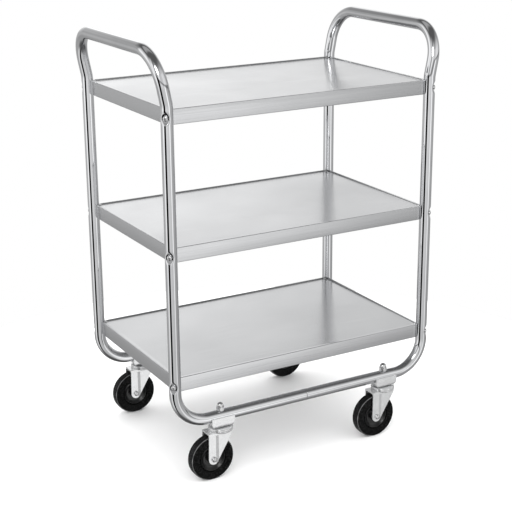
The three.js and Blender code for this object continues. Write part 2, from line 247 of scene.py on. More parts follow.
def rounded(mesh, width, segments=2, angle=30, crease=180):
    """The mesh with its edges rounded over and its flat faces shaded flat.

    The rounding takes edges steeper than angle. Shading breaks at edges steeper than crease.
    """
    piece = bpy.data.objects.new("rounded", mesh)
    bpy.context.scene.collection.objects.link(piece)
    mesh.shade_smooth()
    mesh.set_sharp_from_angle(angle=math.radians(crease))
    edges = piece.modifiers.new("edges", "BEVEL")
    edges.width = width
    edges.segments = segments
    edges.limit_method = "ANGLE"
    edges.angle_limit = math.radians(angle)
    faces = piece.modifiers.new("faces", "WEIGHTED_NORMAL")
    faces.weight = 80
    faces.keep_sharp = True
    result = evaluated(piece)
    bpy.data.objects.remove(piece)
    return result


def prism(name, outline, low, high, plane="XZ"):
    """An outline pushed across: XZ outlines run along Y, YZ along X and XY along Z."""
    lift = {
        "XZ": lambda a, b, c: Vector((a, c, b)),
        "YZ": lambda a, b, c: Vector((c, a, b)),
        "XY": lambda a, b, c: Vector((a, b, c)),
    }[plane]
    rings = [[lift(a, b, level) for a, b in outline] for level in (low, high)]
    if plane == "XZ":
        rings.reverse()
    return skin(name, rings)


# ==== Materials ===============================================================


class Shader:
    """A node material built round one Principled shader."""

    def __init__(self, name):
        self.material = bpy.data.materials.new(name)
        self.material.use_nodes = True
        self.nodes = self.material.node_tree.nodes
        self.links = self.material.node_tree.links
        self.principled = self.nodes["Principled BSDF"]
        self.place = self.nodes.new("ShaderNodeTexCoord").outputs["Object"]

    def set(self, **values):
        for name, value in values.items():
            self.principled.inputs[name.replace("_", " ")].default_value = value

    def link(self, source, target):
        self.links.new(source, target)

    def stretched(self, scale):
        """Object coordinates scaled by axis."""
        mapping = self.nodes.new("ShaderNodeMapping")
        mapping.inputs["Scale"].default_value = scale
        self.link(self.place, mapping.inputs["Vector"])
        return mapping.outputs["Vector"]

    def noise(self, scale, detail=2.0, roughness=0.5, vector=None):
        noise = self.nodes.new("ShaderNodeTexNoise")
        noise.inputs["Scale"].default_value = scale
        noise.inputs["Detail"].default_value = detail
        noise.inputs["Roughness"].default_value = roughness
        self.link(vector or self.place, noise.inputs["Vector"])
        return noise.outputs["Fac"]

    def ranged(self, source, low, high, start=0.3, end=0.7):
        """A value moved from one range to another, and held inside it."""
        node = self.nodes.new("ShaderNodeMapRange")
        for name, value in (("From Min", start), ("From Max", end), ("To Min", low), ("To Max", high)):
            node.inputs[name].default_value = value
        self.link(source, node.inputs["Value"])
        return node.outputs["Result"]

    def mixed(self, factor, first, second):
        """A colour between two colours, which are fixed or come from other nodes."""
        node = self.nodes.new("ShaderNodeMix")
        node.data_type = "RGBA"
        slots = [slot for slot in node.inputs if slot.type == "RGBA"]
        for slot, colour in zip(slots, (first, second)):
            if isinstance(colour, tuple):
                slot.default_value = (*colour, 1)
            else:
                self.link(colour, slot)
        self.link(factor, node.inputs["Factor"])
        return next(out for out in node.outputs if out.type == "RGBA")

    def bump(self, height, distance, strength=1.0, under=None):
        node = self.nodes.new("ShaderNodeBump")
        node.inputs["Distance"].default_value = distance
        node.inputs["Strength"].default_value = strength
        self.link(height, node.inputs["Height"])
        if under is not None:
            self.link(under, node.inputs["Normal"])
        return node.outputs["Normal"]

    def finish(self, colour=None, roughness=None, normal=None):
        if colour is not None:
            self.link(colour, self.principled.inputs["Base Color"])
        if roughness is not None:
            self.link(roughness, self.principled.inputs["Roughness"])
        if normal is not None:
            self.link(normal, self.principled.inputs["Normal"])
        return self.material


def polished_tube():
    """Polished stainless tube, with faint drawing marks and a few dull smears."""
    s = Shader("polished_tube")
    s.set(Metallic=1.0)
    smear = s.noise(14, 4, 0.6)
    colour = s.mixed(s.ranged(smear, 0, 1), (0.68, 0.685, 0.70), (0.75, 0.755, 0.765))
    roughness = s.ranged(s.noise(40, 5, 0.65), 0.02, 0.06)
    normal = s.bump(s.noise(24, 1), 0.12 * MM, 0.3)
    return s.finish(colour, roughness, normal)


def brushed_sheet():
    """Satin stainless sheet brushed along its length, which stretches reflections across the strokes."""
    s = Shader("brushed_sheet")
    s.set(Metallic=1.0, Anisotropic=0.7)
    tangent = s.nodes.new("ShaderNodeTangent")
    tangent.direction_type = "UV_MAP"
    tangent.uv_map = "across_strokes"
    s.link(tangent.outputs["Tangent"], s.principled.inputs["Tangent"])
    strokes = s.noise(1.0, 3, 0.6, s.stretched((7, 1100, 1100)))
    broad = s.noise(5, 3, 0.5)
    colour = s.mixed(s.ranged(strokes, 0, 1), (0.60, 0.605, 0.615), (0.68, 0.685, 0.695))
    roughness = s.ranged(broad, 0.2, 0.25)
    normal = s.bump(strokes, 0.008 * MM, 0.3)
    normal = s.bump(s.noise(6, 1), 0.5 * MM, 0.12, normal)
    return s.finish(colour, roughness, normal)


def bright_fastener():
    """Bright plated screws, bolts and nuts."""
    s = Shader("bright_fastener")
    s.set(Metallic=1.0)
    patch = s.noise(180, 3, 0.6)
    colour = s.mixed(s.ranged(patch, 0, 1), (0.66, 0.665, 0.67), (0.78, 0.78, 0.785))
    return s.finish(colour, s.ranged(patch, 0.2, 0.3), s.bump(s.noise(700, 2), 0.01 * MM, 0.4))


def zinc_plate():
    """Pale zinc on pressed steel, half matt and slightly mottled."""
    s = Shader("zinc_plate")
    s.set(Metallic=0.85)
    mottle = s.noise(70, 4, 0.65)
    colour = s.mixed(s.ranged(mottle, 0, 1), (0.80, 0.805, 0.81), (0.88, 0.885, 0.89))
    normal = s.bump(s.noise(450, 3, 0.6), 0.03 * MM, 0.3)
    return s.finish(colour, s.ranged(mottle, 0.2, 0.28), normal)


def tyre_rubber():
    """Black rubber with a fine speckle, a painted highlight line round each shoulder and a scuffed tread."""
    s = Shader("tyre_rubber")
    s.set(Metallic=0.0, Specular_IOR_Level=0.08)
    dust = s.noise(420, 5, 0.7)
    face = s.mixed(s.ranged(dust, 0, 1, 0.5, 0.72), (0.0002, 0.0002, 0.0002), (0.02, 0.02, 0.0205))
    scuffs = s.ranged(s.noise(90, 4, 0.6), 0, 1)
    scuffed = s.mixed(scuffs, (0.002, 0.002, 0.0022), (0.012, 0.012, 0.0125))
    # Painted highlight: a lighter ring round each shoulder, mottled by the scuff noise, stands in for the
    # highlight along the shoulder's edge.
    painted_shoulder_highlight = s.mixed(scuffs, (0.05, 0.05, 0.051), (0.16, 0.16, 0.161))
    from_axle = s.nodes.new("ShaderNodeVectorMath")
    from_axle.operation = "LENGTH"
    s.link(s.stretched((1, 0, 1)), from_axle.inputs[0])
    reach = from_axle.outputs["Value"]
    on_shoulder = s.ranged(reach, 0, 1, WHEEL_R - 2.6 * MM, WHEEL_R - 1.8 * MM)
    on_tread = s.ranged(reach, 0, 1, WHEEL_R - 1.3 * MM, WHEEL_R - 0.7 * MM)
    # The face with its painted shoulder highlight ring, then the scuffed tread.
    colour = s.mixed(on_tread, s.mixed(on_shoulder, face, painted_shoulder_highlight), scuffed)
    normal = s.bump(s.noise(900, 4, 0.7), 0.05 * MM, 0.5)
    return s.finish(colour, s.ranged(dust, 0.16, 0.36), normal)


def hub_plastic():
    """Glossy moulded black plastic."""
    s = Shader("hub_plastic")
    s.set(Metallic=0.0, Specular_IOR_Level=0.45, IOR=1.7)
    patch = s.noise(90, 3, 0.5)
    colour = s.mixed(s.ranged(patch, 0, 1), (0.0005, 0.0005, 0.0007), (0.003, 0.003, 0.0035))
    return s.finish(colour, s.ranged(patch, 0.26, 0.34), s.bump(s.noise(1500, 2), 0.015 * MM, 0.3))


def pale_floor():
    """Plain pale floor, barely mottled."""
    s = Shader("pale_floor")
    shade = s.noise(3, 3, 0.5)
    colour = s.mixed(s.ranged(shade, 0, 1), (0.93, 0.93, 0.93), (0.95, 0.95, 0.95))
    return s.finish(colour, s.ranged(shade, 0.6, 0.7))


MATERIALS = {
    "chromed_tube": polished_tube(),
    "brushed_sheet": brushed_sheet(),
    "bright_fasteners": bright_fastener(),
    "zinc_plated_steel": zinc_plate(),
    "tyre_rubber": tyre_rubber(),
    "hub_plastic": hub_plastic(),
}


def dress(piece, body, slot, *nodes):
    """Puts a new piece in place of CAD nodes."""
    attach(piece, body)
    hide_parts(*nodes)


# ==== Frame tubes =============================================================


def frame_corners(side):
    """Corners of one end frame with their bend radii, from the front seam to the rear seam."""
    x = side * POST_X
    handle_x = side * (POST_X + HANDLE_OUT)
    seam_x = side * CLEARANCE / 2
    front = [
        (Vector((seam_x, -POST_Y, RUN_Z)), 0),
        (Vector((x, -POST_Y, RUN_Z)), RUN_BEND),
        (Vector((x, -POST_Y, LEAN_Z)), LEAN_BEND),
        (Vector((handle_x, -POST_Y, HANDLE_Z)), HANDLE_BEND),
    ]
    rear = [(Vector((at.x, -at.y, at.z)), bend) for at, bend in reversed(front)]
    return front + rear


def bend_stations(before, corner, after, radius, steps):
    """Places and directions round one rounded corner."""
    arriving = (corner - before).normalized()
    leaving = (after - corner).normalized()
    turn = arriving.angle(leaving)
    start = corner - arriving * radius * math.tan(turn / 2)
    inward = (leaving - arriving * leaving.dot(arriving)).normalized()
    centre = start + inward * radius
    stations = []
    for i in range(steps + 1):
        angle = turn * i / steps
        at = centre + arriving * radius * math.sin(angle) - inward * radius * math.cos(angle)
        stations.append((at, arriving * math.cos(angle) + inward * math.sin(angle)))
    return stations


def tube_stations(side):
    """Places and directions along the whole tube, close together at the pressed seats."""
    corners = frame_corners(side)
    stations = seam_stations(corners[0][0], corners[1][0])
    for i in range(1, len(corners) - 1):
        before, corner, after = corners[i - 1][0], corners[i][0], corners[i + 1][0]
        radius = corners[i][1]
        steps = BEND_STEPS if radius > LEAN_BEND else BEND_STEPS // 4
        bend = bend_stations(before, corner, after, radius, steps)
        stations += straight_fill(stations[-1][0], bend[0])
        stations += bend
    return stations + seam_stations(corners[-1][0], corners[-2][0], -1)[::-1]


def seam_stations(seam, corner, sense=1):
    """The open end of a tube and its chamfer; sense is -1 where the tube ends."""
    inward = (corner - seam).normalized()
    return [(seam + inward * SEAM_CHAMFER * i, inward * sense) for i in range(3)]


def straight_fill(start, end):
    """Extra stations on an upright straight, across each pressed seat."""
    goal, along = end
    if abs(along.z) < UPRIGHT:
        return []
    heights = []
    for rim_z in RIM_Z.values():
        middle = rim_z - FLANGE_H / 2
        heights += [middle + i * SEAT_STEP for i in range(-SEAT_STEPS, SEAT_STEPS + 1)]
    low, high = sorted((start.z, goal.z))
    heights = sorted(z for z in heights if low + MM < z < high - MM)
    if along.z < 0:
        heights.reverse()
    return [(Vector((start.x, start.y, z)), along) for z in heights]


def pressed(point, axis_at, out, depth):
    """A point of the tube wall, pushed in where a screw seat is pressed.

    Its surface lies at that depth below the outer one.
    """
    for rim_z in RIM_Z.values():
        away = point.z - (rim_z - FLANGE_H / 2)
        if abs(away) > SEAT_STEP * SEAT_STEPS:
            continue
        height = (point - axis_at).dot(out)
        floor = TUBE_R - SEAT_DEPTH + away * away / (2 * SEAT_R) - depth
        gap = (height - floor) / SEAT_LIP
        push = SEAT_LIP * (math.log1p(math.exp(-abs(gap))) + max(gap, 0))
        return point - out * push
    return point


def tube_rings(side, depth):
    """Rings of one tube surface, at a depth below the outer one, kept from twisting along the way."""
    stations = tube_stations(side)
    seams = (stations[0][0], stations[-1][0])
    across = Vector((0, 0, 1))
    rings = []
    for at, along in stations:
        chamfer = SEAM_CHAMFER if depth == 0 and at in seams else 0
        radius = TUBE_R - depth - chamfer
        across = (across - along * across.dot(along)).normalized()
        other = along.cross(across)
        on_post = abs(along.z) > UPRIGHT
        out = Vector((side, math.copysign(1, at.y), 0)).normalized()
        ring = []
        for i in range(TUBE_SEGMENTS):
            angle = 2 * math.pi * i / TUBE_SEGMENTS
            point = at + across * radius * math.cos(angle) + other * radius * math.sin(angle)
            ring.append(pressed(point, at, out, depth) if on_post else point)
        rings.append(ring)
    return rings


def frame_tube(side_name, side):
    """One end frame: the outer and inner surfaces, joined at both seams."""
    outer = tube_rings(side, 0)
    inner = tube_rings(side, TUBE_WALL)
    name = side_name + "_frame_tube"
    mesh = skin(name, outer + inner[::-1], wrap=True, sharp=60)
    piece = place("bent_" + side_name + "_tube", mesh, MATERIALS["chromed_tube"])
    dress(piece, "trolley", "chromed_tube", name)


# ==== Shelves =================================================================


def shelf_ring(inset, z, steps=10):
    """Shelf outline pulled in by an inset, hollow round each post."""
    half_x = POST_X - SHELF_INSET - inset
    half_y = POST_Y - SHELF_INSET - inset
    hollow = TUBE_R + CLEARANCE + inset
    tilt = math.degrees(math.asin((SHELF_INSET + inset) / hollow))
    ring = []
    for i, (sx, sy) in enumerate(((1, -1), (1, 1), (-1, 1), (-1, -1))):
        middle = 135 + 90 * i
        sweep = 45 - tilt
        ring += arc((sx * POST_X, sy * POST_Y), hollow, middle + sweep, middle - sweep, steps)
    return [Vector((x, y, z)) for x, y in ring]


def slope(low, high, start, end, steps=7):
    """A smooth step from one height to another, as (place, height) pairs."""
    points = []
    for i in range(steps + 1):
        t = i / steps
        points.append((start + (end - start) * t, low + (high - low) * t * t * (3 - 2 * t)))
    return points


def shelf_profile():
    """Section of the folded sheet, from the deck over the rim to the return flange and back inside."""
    deck_edge = FOLD_R + SLOPE_W
    on_deck = deck_edge + 6 * MM
    outer = [(on_deck, -DECK_DROP)]
    outer += slope(-DECK_DROP, 0, deck_edge, FOLD_R)
    outer += [(FOLD_R - x, y - FOLD_R) for x, y in arc((0, 0), FOLD_R, 90, 0, 5)][1:]
    outer += [(FOLD_R - x, y - FLANGE_H + FOLD_R) for x, y in arc((0, 0), FOLD_R, 0, -90, 5)]
    outer += [(RETURN_W, -FLANGE_H)]
    small = FOLD_R - SHEET
    inner = [(RETURN_W, -FLANGE_H + SHEET)]
    inner += [(FOLD_R - x, y - FLANGE_H + FOLD_R) for x, y in arc((0, 0), small, -90, 0, 3)]
    inner += [(FOLD_R - x, y - FOLD_R) for x, y in arc((0, 0), small, 0, 90, 3)]
    inner += slope(-SHEET, -DECK_DROP - SHEET, FOLD_R, deck_edge)[1:]
    inner += [(on_deck, -DECK_DROP - SHEET)]
    return outer + inner


def map_strokes(mesh):
    """A map whose first direction runs across the brush strokes on each face."""
    layer = mesh.uv_layers.new(name="across_strokes").data
    for face in mesh.polygons:
        steepest = max(range(3), key=lambda axis: abs(face.normal[axis]))
        across, along = ((1, 2), (2, 0), (1, 0))[steepest]
        for corner in face.loop_indices:
            at = mesh.vertices[mesh.loops[corner].vertex_index].co
            layer[corner].uv = (at[across], at[along])


def shelf(level):
    """One folded shelf, hung from its rim."""
    rim_z = RIM_Z[level]
    rings = [shelf_ring(inset, rim_z + z) for inset, z in shelf_profile()]
    name = level + "_shelf"
    mesh = skin(name, rings, sharp=28)
    map_strokes(mesh)
    piece = place("folded_" + name, mesh, MATERIALS["brushed_sheet"])
    dress(piece, "trolley", "brushed_sheet", name)


# ==== Shelf screws ============================================================


def screw_mesh():
    """Raised head with a cross recess, on a shank. The head sits at zero and points along +Z."""
    edge = 0.5 * MM
    side_h = 1.1 * MM
    bulge = arc((0, 0), 1, 4, 90, 8)
    dome = [(SCREW_HEAD_R * x, side_h + (SCREW_HEAD_H - side_h) * y) for x, y in bulge][:-1]
    profile = [(0, -SCREW_SHANK_L), (SCREW_SHANK_R, -SCREW_SHANK_L)]
    profile += [(SCREW_SHANK_R, 0), (SCREW_HEAD_R - edge, 0)]
    profile += [(SCREW_HEAD_R, edge)] + dome + [(0, SCREW_HEAD_H)]
    head = lathe("shelf_screw", profile, 40)
    for turn in (0, 90):
        head = boolean(head, "DIFFERENCE", recess_bar(turn))
    return rounded(head, 0.12 * MM, 1, 40)


def recess_bar(turn):
    """One arm of the cross recess: a bar that narrows downward."""
    half_l = 2.9 * MM
    half_w = 0.62 * MM
    depth = 1.9 * MM
    top = SCREW_HEAD_H + 0.5 * MM
    twist = Matrix.Rotation(math.radians(turn + RECESS_TURN), 3, "Z")
    corners = ((1, 1), (-1, 1), (-1, -1), (1, -1))
    rings = []
    for z, shrink in ((SCREW_HEAD_H - depth, 0.55), (top, 1.0)):
        ring = [Vector((a * half_l * shrink, b * half_w, z)) for a, b in corners]
        rings.append([twist @ p for p in ring])
    return skin("recess_bar", rings)


def shelf_screws():
    """Twelve screws of one mesh, each in its seat and pointing away from the trolley's middle."""
    mesh = screw_mesh()
    seat = TUBE_R - SEAT_DEPTH + SCREW_HEAD_R**2 / (2 * SEAT_R) + CLEARANCE
    for level in LEVELS:
        for row, sy in ROWS:
            for side, sx in SIDES:
                name = f"{level}_shelf_screw_{row}_{side}"
                out = Vector((sx, sy, 0)).normalized()
                at = Vector((sx * POST_X, sy * POST_Y, RIM_Z[level] - FLANGE_H / 2)) + out * seat
                turn = out.to_track_quat("Z", "Y").to_matrix().to_4x4()
                stand = Matrix.Translation(at) @ turn
                piece = place("raised_" + name, mesh, MATERIALS["bright_fasteners"], stand)
                dress(piece, "trolley", "bright_fasteners", name)


# ==== Castors =================================================================


def saddle_mesh():
    """Pressed cradle that hugs the underside of the lower run."""
    low = CUP_Z + RACE_T + 2 * CLEARANCE
    half = SADDLE_L / 2
    half_w = SADDLE_W / 2
    corner = 12 * MM
    side = [(-half, RUN_Z)]
    side += arc((-half + corner, low + corner), corner, 180, 270, 10)
    side += arc((half - corner, low + corner), corner, 270, 360, 10)
    side += [(half, RUN_Z)]
    block = prism("saddle", side, -half_w, half_w)
    belly = 7 * MM
    end = [(-half_w, RUN_Z)]
    end += arc((-half_w + belly, low + belly), belly, 180, 270, 8)
    end += arc((half_w - belly, low + belly), belly, 270, 360, 8)
    end += [(half_w, RUN_Z)]
    block = boolean(block, "INTERSECT", prism("end", end, -SADDLE_L, SADDLE_L, "YZ"))
    round_tube = [(y, RUN_Z + z) for y, z in arc((0, 0), TUBE_R + 0.2 * MM, 0, 360, 64)[:-1]]
    tube = prism("tube", round_tube, -SADDLE_L, SADDLE_L, "YZ")
    return rounded(boolean(block, "DIFFERENCE", tube), 0.5 * MM, 2, 35)


def race_mesh():
    """Upper race: a flat ring with a rolled edge."""
    low = CUP_Z + CLEARANCE
    high = low + RACE_T
    bore = KING_R + CLEARANCE
    roll = 1.4 * MM
    profile = [(bore, low), (RACE_R - 0.6 * MM, low)]
    profile += arc((RACE_R - roll, low + roll), roll, -60, 0, 4)
    profile += arc((RACE_R - roll, high - roll), roll, 0, 90, 6)
    profile += [(RACE_R - 4 * MM, high), (bore, high)]
    return lathe("swivel_race", profile, 72)


def fork_outline():
    """Side outline of the fork: upright at the back, sloping up to the crown at the front."""
    run = LEG_FRONT_X + TRAIL
    rise = LEG_SHOULDER_Z - WHEEL_R
    touch = math.degrees(math.atan2(rise, run) - math.acos(LEG_END_R / math.hypot(run, rise)))
    top = CROWN_Z + CROWN_T
    outline = [(LEG_REAR_X, top)]
    outline += arc((-TRAIL, WHEEL_R), LEG_END_R, 180, 360 + touch, 32)
    outline += [(LEG_FRONT_X, LEG_SHOULDER_Z), (LEG_FRONT_X, top)]
    return outline


def fork_mesh():
    """Pressed fork: two ribbed legs under a crown that carries the lower race."""
    half = FORK_W / 2
    body = prism("fork", fork_outline(), -half, half)
    for sy in (-1, 1):
        body = boolean(body, "DIFFERENCE", leg_recess(sy))
    roll = 4.5 * MM
    cup_low = CROWN_Z + MM
    cup = [(0, cup_low), (RACE_R - roll, cup_low)]
    cup += arc((RACE_R - roll, cup_low + roll), roll, -80, 0, 14)
    cup += [(RACE_R, CUP_Z - 0.8 * MM), (RACE_R - 0.8 * MM, CUP_Z), (0, CUP_Z)]
    body = boolean(body, "UNION", lathe("cup", cup, 72))
    inside = half - LEG_T
    bend = 3 * MM
    channel = [(-inside, -CROWN_Z), (inside, -CROWN_Z)]
    channel += arc((inside - bend, CROWN_Z - bend), bend, 0, 90, 4)
    channel += arc((-inside + bend, CROWN_Z - bend), bend, 90, 180, 4)
    body = boolean(body, "DIFFERENCE", prism("channel", channel, -PAST_FORK, PAST_FORK, "YZ"))
    hole_r = KING_R + CLEARANCE
    low = CROWN_Z - 5 * MM
    high = CUP_Z + 5 * MM
    hole = [(0, low), (hole_r, low), (hole_r, high), (0, high)]
    body = boolean(body, "DIFFERENCE", lathe("king_hole", hole, 32))
    return rounded(body, 0.6 * MM, 2, 32, 8)


def leg_recess(sy):
    """Tool that leaves an upright rib along the back of a leg and sinks the rest of its face."""
    face = FORK_W / 2
    clear = 4 * MM
    outline = [
        (RIB_X, sy * (face + 0.001 * MM)),
        (RIB_X + RIB_SLANT, sy * (face - LEG_SUNK)),
        (PAST_FORK, sy * (face - LEG_SUNK)),
        (PAST_FORK, sy * (face + clear)),
        (RIB_X, sy * (face + clear)),
    ]
    if sy < 0:
        outline.reverse()
    return prism("recess", outline, 0, LEG_SHOULDER_Z + 2 * MM, "XY")


def hexagon_radius(angle, corner_r):
    """Distance from the middle of a hexagon to its edge, in one direction."""
    sector = math.radians(60)
    return corner_r * math.cos(sector / 2) / math.cos(angle % sector - sector / 2)


def nut_mesh(name, corner_r, levels, axis="Z", around=72):
    """Hexagon trimmed by a round form: levels are (height, round radius) pairs, from end to end."""
    rings = []
    for height, radius in levels:
        ring = []
        for i in range(around):
            angle = 2 * math.pi * i / around
            reach = min(hexagon_radius(angle, corner_r), radius)
            ring.append(turn_to(axis, reach * math.cos(angle), reach * math.sin(angle), height))
        rings.append(ring)
    return skin(name, rings, sharp=24)


def cap_nut_mesh():
    """Domed nut that stands on top of the lower run."""
    base = RUN_Z + TUBE_R + CLEARANCE
    flat_r = CAP_NUT_R * math.cos(math.pi / 6)
    hex_top = base + 7.6 * MM
    untrimmed = CAP_NUT_R + MM
    dome_r = flat_r * 0.93
    neck_h = 1.2 * MM
    dome_h = base + CAP_NUT_H - hex_top - neck_h
    levels = [(base, CAP_NUT_R * 0.95), (base + 0.9 * MM, untrimmed), (hex_top - MM, untrimmed)]
    levels += [(hex_top, flat_r), (hex_top + 0.25 * MM, dome_r)]
    dome = arc((0, 0), 1, 8, 86, 12)
    levels += [(hex_top + neck_h + dome_h * y, dome_r * x) for x, y in dome]
    return nut_mesh("cap_nut", CAP_NUT_R, levels)


def axle_nut_mesh():
    """Chamfered nut on the rear end of the axle."""
    low = FORK_W / 2 + CLEARANCE
    high = low + AXLE_END_H
    flat_r = AXLE_NUT_R * math.cos(math.pi / 6)
    untrimmed = AXLE_NUT_R + MM
    levels = [(low, flat_r), (low + 0.6 * MM, untrimmed), (high - 1.6 * MM, untrimmed)]
    levels += [(high - 1.0 * MM, flat_r * 0.98), (high - 0.3 * MM, flat_r * 0.8), (high, flat_r * 0.7)]
    return nut_mesh("axle_nut", AXLE_NUT_R, levels, "Y")


def axle_bolt_mesh():
    """Domed head towards the front, with its shank through to the nut."""
    under = -FORK_W / 2 - CLEARANCE
    face = under - AXLE_END_H
    tip = FORK_W / 2 + MM
    side_h = 1.5 * MM
    edge = 0.4 * MM
    bulge = arc((0, 0), 1, 86, 3, 9)
    dome = [(AXLE_HEAD_R * x, under - side_h - (AXLE_END_H - side_h) * y) for x, y in bulge]
    profile = [(0, face)] + dome
    profile += [(AXLE_HEAD_R, under - edge), (AXLE_HEAD_R - edge, under), (AXLE_R, under)]
    profile += [(AXLE_R, tip), (0, tip)]
    return lathe("axle_bolt", profile, 40, "Y")


def mirrored(half):
    """A wheel profile mirrored about its middle plane, as one loop."""
    return [(r, -y) for r, y in half] + [(r, y) for r, y in reversed(half)]


def hub_mesh():
    """Wheel centre: a boss in a dished web with two rings, and a steep wall out to the tyre."""
    bore = AXLE_SLEEVE_R + CLEARANCE
    boss_y = FORK_W / 2 - LEG_T - 0.8 * MM
    rim_y = TYRE_W / 2 - 1.0 * MM
    web_y = 5 * MM
    ridge = web_y + 0.7 * MM
    half = [
        (bore, boss_y - 0.4 * MM),
        (bore + 0.4 * MM, boss_y),
        (bore + 3.0 * MM, boss_y),
        (bore + 3.6 * MM, boss_y - 0.6 * MM),
        (bore + 4.4 * MM, web_y + 1.4 * MM),
        (bore + 5.4 * MM, web_y),
    ]
    for ring_r in (15.5 * MM, 19.5 * MM):
        half += [(ring_r - 0.9 * MM, web_y), (ring_r - 0.4 * MM, ridge)]
        half += [(ring_r + 0.4 * MM, ridge), (ring_r + 0.9 * MM, web_y)]
    half += [
        (HUB_R - 7.2 * MM, web_y),
        (HUB_R - 6.2 * MM, ridge),
        (HUB_R - 1.6 * MM, rim_y - 0.9 * MM),
        (HUB_R - 1.1 * MM, rim_y - 0.2 * MM),
        (HUB_R - 0.6 * MM, rim_y),
        (HUB_R, rim_y - 0.5 * MM),
    ]
    return lathe("wheel_hub", mirrored(half), 96, "Y", sharp=50)


def tyre_mesh():
    """Solid tyre: raised bead round the rim, slightly coned walls, crisp shoulders, crowned tread."""
    half_w = TYRE_W / 2
    bead = HUB_R + 0.3 * MM
    shoulder = 3 * MM
    half = [
        (bead, half_w - 3 * MM),
        (bead + 0.3 * MM, half_w - 2.3 * MM),
        (bead + 2.0 * MM, half_w - 0.4 * MM),
        (bead + 2.6 * MM, half_w),
        (bead + 3.2 * MM, half_w - 0.1 * MM),
        (bead + 3.8 * MM, half_w - 0.6 * MM),
        (bead + 4.4 * MM, half_w - 0.8 * MM),
        (WHEEL_R - 4.4 * MM, half_w - 1.4 * MM),
    ]
    half += arc((WHEEL_R - shoulder - 0.25 * MM, half_w - 1.6 * MM - shoulder), shoulder, 84, 8, 8)
    half += [(WHEEL_R - 0.05 * MM, 5 * MM), (WHEEL_R, 2 * MM)]
    return lathe("tyre", mirrored(half), 128, "Y", sharp=60)


def castor_meshes():
    """Each castor piece: its mesh, its slot, and the group that it turns with."""
    return {
        "saddle": (saddle_mesh(), "zinc_plated_steel", "trolley"),
        "swivel_race": (race_mesh(), "zinc_plated_steel", "trolley"),
        "cap_nut": (cap_nut_mesh(), "bright_fasteners", "trolley"),
        "fork": (fork_mesh(), "zinc_plated_steel", "swivel"),
        "axle_bolt": (axle_bolt_mesh(), "bright_fasteners", "swivel"),
        "axle_nut": (axle_nut_mesh(), "bright_fasteners", "swivel"),
        "wheel_hub": (hub_mesh(), "hub_plastic", "wheel"),
        "tyre": (tyre_mesh(), "tyre_rubber", "wheel"),
    }


def castors():
    """Four castors of the same meshes, each on its own swivel axis and axle."""
    meshes = castor_meshes()
    pivots = {joint["name"]: Vector(joint["pos_m"]) for joint in frame["joints"]}
    for row, _ in ROWS:
        for side, _ in SIDES:
            name = f"{row}_{side}"
            swivel = pivots[name + "_swivel_turn"]
            axle = pivots[name + "_wheel_spin"]
            for part, (mesh, slot, group) in meshes.items():
                on_axle = group == "wheel" or part.startswith("axle")
                at = axle if on_axle else Vector((swivel.x, swivel.y, 0))
                piece = place(f"{name}_{part}_piece", mesh, MATERIALS[slot], Matrix.Translation(at))
                body = "trolley" if group == "trolley" else f"{name}_{group}"
                dress(piece, body, slot, f"{name}_{part}")


# ==== Carried-over CAD nodes ==================================================


def carried_over():
    """Inner pieces keep their CAD shape and take the same finishes."""
    slots = {row["node"]: row["material_slot"] for row in frame["record"]["subparts"]}
    for name, node in frame["nodes"].items():
        material = MATERIALS[slots[name]]
        node.data.materials.clear()
        node.data.materials.append(material)


# ==== Studio ==================================================================

# The camera stands to the front left, above the top deck, and looks down at the middle of the trolley.
CAMERA_AT = Vector((-1.3315, -2.349, 1.2696))
CAMERA_AZIMUTH = 29.42
CAMERA_DIP = 17.79
CAMERA_ROLL = -0.5
CAMERA_LENS = 88.57

# Brightness of what polished metal reflects, by direction: degrees round from the front, positive to the
# right. LOW_ROUND is for directions below the level and HIGH_ROUND for those above it.
LOW_ROUND = (
    (-180, 0.5), (-160, 0.52), (-140, 0.62), (-118, 0.62), (-110, 1.0), (-95, 1.35), (-84, 1.25),
    (-80, 0.0), (-50, 0.0), (-45, 0.95), (-10, 0.85), (8, 0.75), (18, 1.4), (26, 1.4), (38, 0.5),
    (56, 0.6), (68, 0.45), (105, 0.45), (128, 0.6), (180, 0.5),
)
HIGH_ROUND = (
    (-180, 0.7), (-166, 0.55), (-160, 0.45), (-145, 0.45), (-137, 1.2), (-112, 1.2), (-100, 0.9),
    (-80, 1.2), (-70, 0.45), (-54, 0.45), (-46, 1.2), (-35, 1.2), (-25, 0.7), (10, 0.8), (18, 1.0),
    (34, 1.0), (42, 0.95), (60, 0.9), (75, 0.5), (110, 0.5), (132, 0.8), (146, 1.05), (156, 1.4),
    (162, 1.3), (168, 0.75),
)
BRIGHTEST = 1.4

# The same brightness by height. A height is the Z of the direction, from -1 below to 1 above, and each band
# is where one level gives way to the next. UPPER_DIM and NEAR_FLOOR multiply the brightness round about.
LEVEL_BAND = (-0.06, 0.1)
UPPER_BAND = (0.28, 0.42)
UPPER_DIM = 0.72
ZENITH_BAND = (0.42, 0.75)
ZENITH = 0.12
TOP_BAND = (0.76, 0.86)
REAR_ZENITH = 0.45
NEAR_FLOOR_BAND = (-0.16, -0.42)
NEAR_FLOOR = 0.74
NADIR_BAND = (-0.7, -0.98)
NADIR = 0.1

# By how far back a direction points, its Y. The front half has UPPER_BAND and ZENITH_BAND higher by
# FRONT_LIFT, and a dark line along the horizon. REAR_ZENITH is above TOP_BAND in the rear half.
FRONT_Y_BAND = (0.1, -0.2)
REAR_Y_BAND = (0.05, 0.3)
FRONT_LIFT = 0.14
HORIZON_BAND = (0.015, 0.09)
HORIZON = 0.35

# Brightness of the studio on dull surfaces such as the floor and the rubber.
ON_FLOOR = 1.85

KEY_AT = Vector((-1.5, -1.7, 2.0))
KEY_SIZE = 1.0
KEY_POWER = 14
LIT_AT = Vector((0, 0, 0.45))
FLOOR_R = 0.95
FLOOR_T = 0.02


